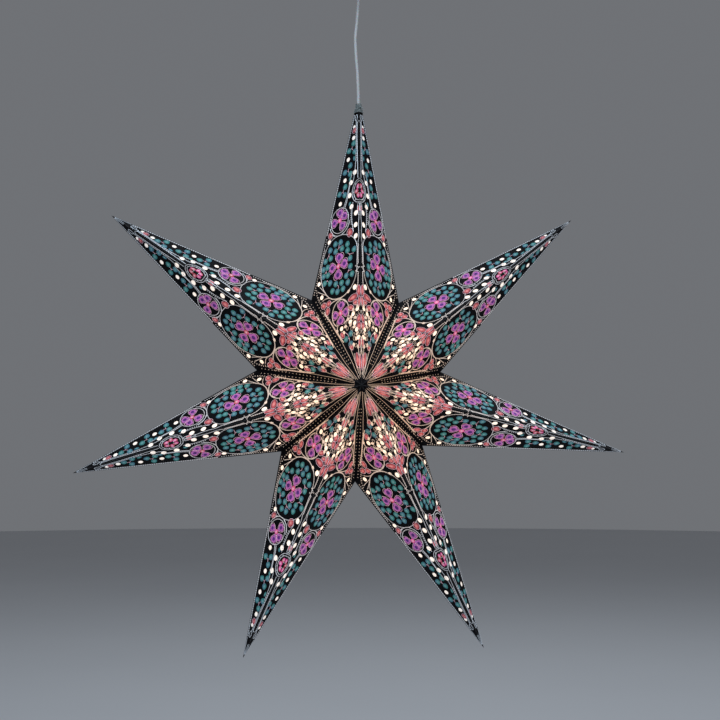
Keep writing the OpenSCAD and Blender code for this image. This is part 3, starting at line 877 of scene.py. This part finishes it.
def plied(points, thickness, lay, plies=2):
    """The paths of plies that twist round a line"""
    places = [Vector(p) for p in points]
    side = Vector((0.31, 0.2, 0.93))
    paths, turn = [[] for _ in range(plies)], 0.0
    for k, place in enumerate(places):
        heading = (places[min(k + 1, len(places) - 1)] - places[max(k - 1, 0)]).normalized()
        side = (side - heading * side.dot(heading)).normalized()
        if k:
            turn += (place - places[k - 1]).length / lay * tau
        for n in range(plies):
            a = turn + tau * n / plies
            offset = side * cos(a) + heading.cross(side) * sin(a)
            paths[n].append(place + offset * thickness / 4)
    return paths


def twisted(lines, thickness, lay, name):
    """Twisted thread along each line, as one mesh"""
    paths = [ply for line in lines for ply in plied(line, thickness, lay)]
    return wound(paths, thickness * PLY, name)


def trefoil(middle, first, second, out, size):
    """A small knot about a place, in the plane of the first two headings"""
    return [middle + (first * (sin(a) + 2 * sin(2 * a)) + second * (cos(a) - 2 * cos(2 * a))
                      - out * 0.9 * sin(3 * a)) * size
            for a in (tau * n / 40 for n in range(41))]


class LanternStep:
    """What every step shares: its work gets the four groups of settings"""

    def execute(self, context):
        self.work(*settings())
        return {"FINISHED"}


class LANTERN_OT_stage(LanternStep, bpy.types.Operator):
    """Camera at the photograph's angle, pale floor and soft studio light"""
    bl_idname = "lantern.stage"
    bl_label = "Stage"

    def work(self, ink, light, lead, stage):
        azimuth, elevation = radians(stage.azimuth), radians(stage.elevation)
        back = Vector((sin(azimuth) * cos(elevation), -cos(azimuth) * cos(elevation),
                       sin(elevation)))
        aim = MIDDLE + Vector(stage.aim)
        bpy.ops.object.camera_add(location=aim + back * stage.distance)
        camera = bpy.context.object
        camera.rotation_euler = (-back).to_track_quat("-Z", "Y").to_euler()
        camera.data.lens = stage.lens
        camera.data.sensor_width = 36
        bpy.context.scene.camera = camera

        bpy.ops.mesh.primitive_circle_add(vertices=96, radius=9, fill_type="NGON",
                                          location=(0, 0, FRAME_BOX[0].z - stage.floor))
        floor = alone(bpy.context.object)
        floor.name = "floor"
        look = Look("pale_floor", Roughness=0.7)
        cloud = look.noise(1.5, 3.0)
        look.set(Base_Color=look.mix((0.64, 0.65, 0.67), (0.6, 0.61, 0.63), cloud))
        look.dress(floor)

        for name, place, power, width, tint in (
                ("key", (-0.4, -1.5, 2.5), 44, 1.6, (0.74, 0.87, 1.0)),
                ("fill", (1.4, -2.2, 0.5), 5, 1.8, (1.0, 0.95, 0.94)),
                ("rim", (0.7, 2.0, 2.6), 30, 2.0, (0.86, 0.93, 1.0))):
            spot = MIDDLE + Vector(place)
            bpy.ops.object.light_add(type="AREA", location=spot)
            lamp = bpy.context.object
            lamp.name = name
            lamp.rotation_euler = (MIDDLE - spot).to_track_quat("-Z", "Y").to_euler()
            lamp.data.energy, lamp.data.size, lamp.data.color = power, width, tint

        world = bpy.data.worlds.new("surroundings")
        bpy.context.scene.world = world
        world.use_nodes = True
        world.node_tree.nodes["Background"].inputs[0].default_value = (*stage.backdrop, 1)
        bpy.context.scene.view_settings.view_transform = "Standard"


class LANTERN_OT_lead(LanternStep, bpy.types.Operator):
    """Flat white twin lead from the lampholder to the ceiling fitting"""
    bl_idname = "lantern.lead"
    bl_label = "Lead"

    def work(self, ink, light, lead, stage):
        knots = [Vector((x, z, turn)) for x, z, turn in LEAD_ROUTE]
        fine = [place for place, _ in smooth(knots, 2.5)]
        route = [(Vector((p.x * MM, 0, p.y * MM)), radians(p.z)) for p in fine]
        tube = swept(lead_outline(lead.width, lead.thickness), route, "flat_lead")
        look = Look("lead_sheath", Specular_IOR_Level=0.45, Subsurface_Weight=0.15)
        skin = look.noise(500.0, 2.0)
        cloud = look.noise(30.0, 2.0)
        look.set(Base_Color=look.mix((0.8, 0.81, 0.82), (0.66, 0.68, 0.7), cloud), Roughness=0.4 + skin * 0.2)
        look.bump(skin, 0.15, 0.0001)
        finished(tube, look, "lead_sheath", "lamp_cord")


class LANTERN_OT_papers(LanternStep, bpy.types.Operator):
    """Black cotton paper on the folded sheets and light on the pale linings"""
    bl_idname = "lantern.papers"
    bl_label = "Papers"

    def work(self, ink, light, lead, stage):
        for number in POINTS:
            cotton_paper(number).dress(NODES[f"point_{number}"])
        look = Look("pale_lining", Emission_Strength=light.lining, Roughness=0.8)
        fleck = look.noise(400.0, 4.0, 0.6)
        base = look.mix((0.92, 0.86, 0.78), (0.82, 0.74, 0.64), look.step(fleck, 0.4, 0.7))
        look.backlit(base, 0.75)
        look.bump(fleck, 0.25, 0.0001)
        look.dress(*[NODES[f"lining_{number}"] for number in POINTS])


class LANTERN_OT_outlines(LanternStep, bpy.types.Operator):
    """Glitter outlines and chain lines on every panel"""
    bl_idname = "lantern.outlines"
    bl_label = "Outlines"

    def work(self, ink, light, lead, stage):
        look = glitter()
        rise = ink.height * 1.3
        flat = joined([drawn(hair_lines(), ink.line * 0.6, rise), drawn(lines(), ink.line, rise),
                       drawn(bold_lines(), ink.bold, rise), strewn(template(6), chains(), rise)], "flat")
        laid(flat, "outlines", look)
        tips = [([(4, 0.7), (7, 1.7), (13, 3.7), (21, 6.2)], False),
                ([(4.5, 0.35), (9, 0.7), (16, 0.9)], False)]
        laid(drawn(tips, ink.line * 0.7, rise), "tip_lines", look, skip=(TIED,))
        blush = printed("blush_ink", ink.blush, toned(ink.blush, 0.8), light.ink * 1.4)
        laid(drawn(petal_lines(), ink.line * 0.65, ink.height * 1.1), "petal_lines", blush)


class LANTERN_OT_leaves(LanternStep, bpy.types.Operator):
    """Teal leaves of the large medallions and the tips"""
    bl_idname = "lantern.leaves"
    bl_label = "Teal leaves"

    def work(self, ink, light, lead, stage):
        look = printed("teal_ink", ink.teal, ink.blue, light.ink * 1.1, cell=110.0, heart=ink.leaf_highlight)
        laid(strewn(template(10, 0.12, 0.84), drops(), ink.height), "teal_leaves", look)


class LANTERN_OT_flowers(LanternStep, bpy.types.Operator):
    """Pink flowers with violet spots and rosy hearts"""
    bl_idname = "lantern.flowers"
    bl_label = "Flowers"

    def work(self, ink, light, lead, stage):
        pink = printed("pink_ink", ink.pink, toned(ink.pink, 1.25), light.ink * 1.4)
        violet = printed("violet_ink", ink.violet, toned(ink.violet, 1.5), light.ink * 0.8)
        # The blush ink also serves as the painted highlight in the middles of the flower hearts
        rose = printed("rose_ink", ink.rose, ink.coral, light.ink * 1.5, heart=ink.blush)
        laid(strewn(template(14, 0.0, 1.1, 0.14, 0.5), flowers(), ink.height), "petals", pink)
        laid(strewn(template(8, 0.1, 0.9), spots(), ink.height * 0.8), "petal_spots", violet,
             lift=ink.height / MM * 0.7)
        laid(strewn(template(10), hearts(), ink.height * 1.2), "flower_hearts", rose)


class LANTERN_OT_corals(LanternStep, bpy.types.Operator):
    """Coral buds, trefoils and tulips"""
    bl_idname = "lantern.corals"
    bl_label = "Coral motifs"

    def work(self, ink, light, lead, stage):
        look = printed("coral_ink", ink.coral, toned(ink.coral, 0.8), light.ink * 1.5, heart=ink.coral_highlight)
        laid(strewn(template(12, 0.2, 0.78), corals(), ink.height), "coral_motifs", look)


class LANTERN_OT_beads(LanternStep, bpy.types.Operator):
    """Pale beads and tiny dots"""
    bl_idname = "lantern.beads"
    bl_label = "Beads and dots"

    def work(self, ink, light, lead, stage):
        look = printed("cream_ink", ink.cream, toned(ink.cream, 0.75), light.ink * 2.1, dim=0.6)
        laid(strewn(template(10), creams(), ink.height), "cream_beads", look)
        laid(strewn(template(6), pinholes(), ink.height), "fine_dots", glitter())


class LANTERN_OT_tip_thread(LanternStep, bpy.types.Operator):
    """Thread wound round the cut tip and the lead, with its knot and tails"""
    bl_idname = "lantern.tip_thread"
    bl_label = "Tip thread"

    def work(self, ink, light, lead, stage):
        tip, _, right = corners(TIED)
        out = (tip - MIDDLE).normalized()
        across = sideways(out)
        spread = abs((right - tip).dot(across) / (right - tip).dot(out))
        depth = (MIDDLE.y - FRONT.y) / (tip - MIDDLE).length
        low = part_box("tip_tie")[0].z
        cut = tip.z - TIP_CUT * MM
        paper_turns = round((cut - low) / lead.thread)
        lead_turns = 6
        radius = Vector((lead.width / 2, lead.thickness / 4)).length + 0.55 * lead.thread
        steps = 28
        bulge = 1.2  # 1 is as square as the folded tip, 2 is oval
        path = []
        for n in range((paper_turns + lead_turns) * steps):
            turns = n / steps
            height = cut - (paper_turns - 0.4 - turns) * lead.thread
            a = tau * turns
            down = tip.z - height
            on_paper = max(0.0, min(1.0, (paper_turns - 0.3 - turns) * 2 + 0.5))
            wide, deep = down * spread + 0.5 * lead.thread, down * depth + 0.5 * lead.thread
            square = (abs(cos(a) / wide) ** bulge + abs(sin(a) / deep) ** bulge) ** (-1 / bulge)
            reach = square * on_paper + radius * (1 - on_paper)
            centre = tip - out * down
            path.append(centre + across * reach * cos(a) + Vector((0, 1, 0)) * reach * sin(a))
        knot = tip - out * (tip.z - cut - 2.4 * lead.thread)
        knot += Vector((1.2 * MM, -radius - 0.9 * lead.thread, 0))
        loop = trefoil(knot, Vector((1, 0, 0)), Vector((0, 0, 1)), Vector((0, 1, 0)), 0.36 * MM)
        tails = [[knot + Vector((hand * s * 3.6, -0.6 * s, -s * s * 2.6 - 0.6 * s)) * MM * 1.1
                  for s in (n / 8 for n in range(9))] for hand in (-1, 1)]
        thread = twisted((path, loop, *tails), lead.thread, 2.4 * MM, "tip_thread")
        finished(thread, fibre("wound_thread", (0.4, 0.47, 0.47), 900.0), "wound_thread", "tip_tie")


class LANTERN_OT_strings(LanternStep, bpy.types.Operator):
    """Twisted strings that close the tied point's back ridge"""
    bl_idname = "lantern.strings"
    bl_label = "Back strings"

    def work(self, ink, light, lead, stage):
        string = lead.string
        tip = corners(TIED)[0]
        ridge = (BACK - tip).normalized()
        look = fibre("cotton_string", (0.72, 0.67, 0.56), 700.0)
        out = sum((panel.col[2].xyz for panel in panels(TIED)[2:]), Vector()).normalized()
        across = ridge.cross(out)
        for number in (1, 2, 3):
            node = f"seam_tie_{number}"
            ties = [v.co - tip for v in NODES[node].data.vertices]
            spans = [c.dot(ridge) for c in ties]
            along = (min(spans) + max(spans)) / 2
            lift = string / 2 + 0.1 * MM
            inner = min(c.dot(out) for c in ties) + string / 2
            ring = (lift - inner) / 2
            centre = tip + ridge * along + out * (lift - ring)
            loop = [centre + (out * cos(a) + across * sin(a)) * ring
                    + ridge * string * 0.25 * cos(3 * a)
                    for a in (tau * n / 60 for n in range(61))]
            knot = centre + out * (ring + 0.5 * string)
            bow = trefoil(knot, ridge, across, out, 0.42 * MM)
            tails = []
            for hand, lean in ((-1, 0.24), (1, 0.5)):
                way = (across * hand * 0.93 - out * 0.22 + ridge * (lean - 0.6)).normalized()
                tails.append([knot + way * s * 11 * MM + out * (0.5 - 2.2 * s * s) * MM
                              for s in (n / 12 for n in range(13))])
            tie = twisted((loop, bow, *tails), string, 3.0 * MM, f"back_string_{number}")
            finished(tie, look, "cotton_string", node)


class LANTERN_OT_fittings(LanternStep, bpy.types.Operator):
    """Lampholder, bulb and ceiling fitting"""
    bl_idname = "lantern.fittings"
    bl_label = "Lampholder, bulb and ceiling fitting"

    def work(self, ink, light, lead, stage):
        white = moulded("white_plastic", (0.78, 0.78, 0.76))
        white.dress(*[NODES[n] for n in ("cord_grip", "holder_cap", "holder_skirt", "ceiling_cup",
                                         "cord_gland")])
        moulded("holder_core", (0.6, 0.58, 0.53), 0.5).dress(NODES["holder_core"])
        moulded("terminal_plastic", (0.7, 0.69, 0.64), 0.35).dress(NODES["terminal_block"])
        metal("sleeve_brass", (0.7, 0.5, 0.22), 0.25).dress(NODES["holder_sleeve"])
        metal("cap_metal", (0.62, 0.62, 0.64), 0.28).dress(NODES["bulb_cap"])
        metal("zinc_steel", (0.52, 0.54, 0.56), 0.35).dress(NODES["ceiling_plate"], NODES["cup_screws"])
        glass = Look("opal_glass", Roughness=0.25, Coat_Roughness=0.1, Emission_Strength=light.bulb)
        cloud = glass.noise(40.0)
        glass.set(Base_Color=glass.mix((0.95, 0.92, 0.86), (0.9, 0.86, 0.78), cloud),
                  Emission_Color=glass.mix((1.0, 0.8, 0.55), (1.0, 0.74, 0.46), cloud))
        glass.dress(NODES["bulb_glass"])


class LANTERN_PT_tools(bpy.types.Panel):
    """Steps that dress the lantern, and their settings"""
    bl_idname = "LANTERN_PT_tools"
    bl_label = "Paper star lantern"
    bl_space_type = "VIEW_3D"
    bl_region_type = "UI"
    bl_category = "Lantern"

    def draw(self, context):
        for step in STEPS:
            self.layout.operator(step.bl_idname)
        for group in settings():
            for name in group.bl_rna.properties.keys():
                if name not in ("rna_type", "name"):
                    self.layout.prop(group, name)


GROUPS = {"lantern_print": LanternPrint, "lantern_glow": LanternGlow, "lantern_lead": LanternLead,
          "lantern_stage": LanternStage}
STEPS = (LANTERN_OT_stage, LANTERN_OT_lead, LANTERN_OT_papers, LANTERN_OT_outlines, LANTERN_OT_leaves,
         LANTERN_OT_flowers, LANTERN_OT_corals, LANTERN_OT_beads, LANTERN_OT_tip_thread, LANTERN_OT_strings,
         LANTERN_OT_fittings)


def register():
    for made in (*GROUPS.values(), *STEPS, LANTERN_PT_tools):
        bpy.utils.register_class(made)
    for name, group in GROUPS.items():
        setattr(bpy.types.Scene, name, bpy.props.PointerProperty(type=group))


def unregister():
    for name in GROUPS:
        delattr(bpy.types.Scene, name)
    for made in (LANTERN_PT_tools, *reversed(STEPS), *GROUPS.values()):
        bpy.utils.unregister_class(made)


def main():
    """Runs each step in order"""
    register()
    for step in STEPS:
        family, name = step.bl_idname.split(".")
        getattr(getattr(bpy.ops, family), name)()


if __name__ == "__main__":
    main()
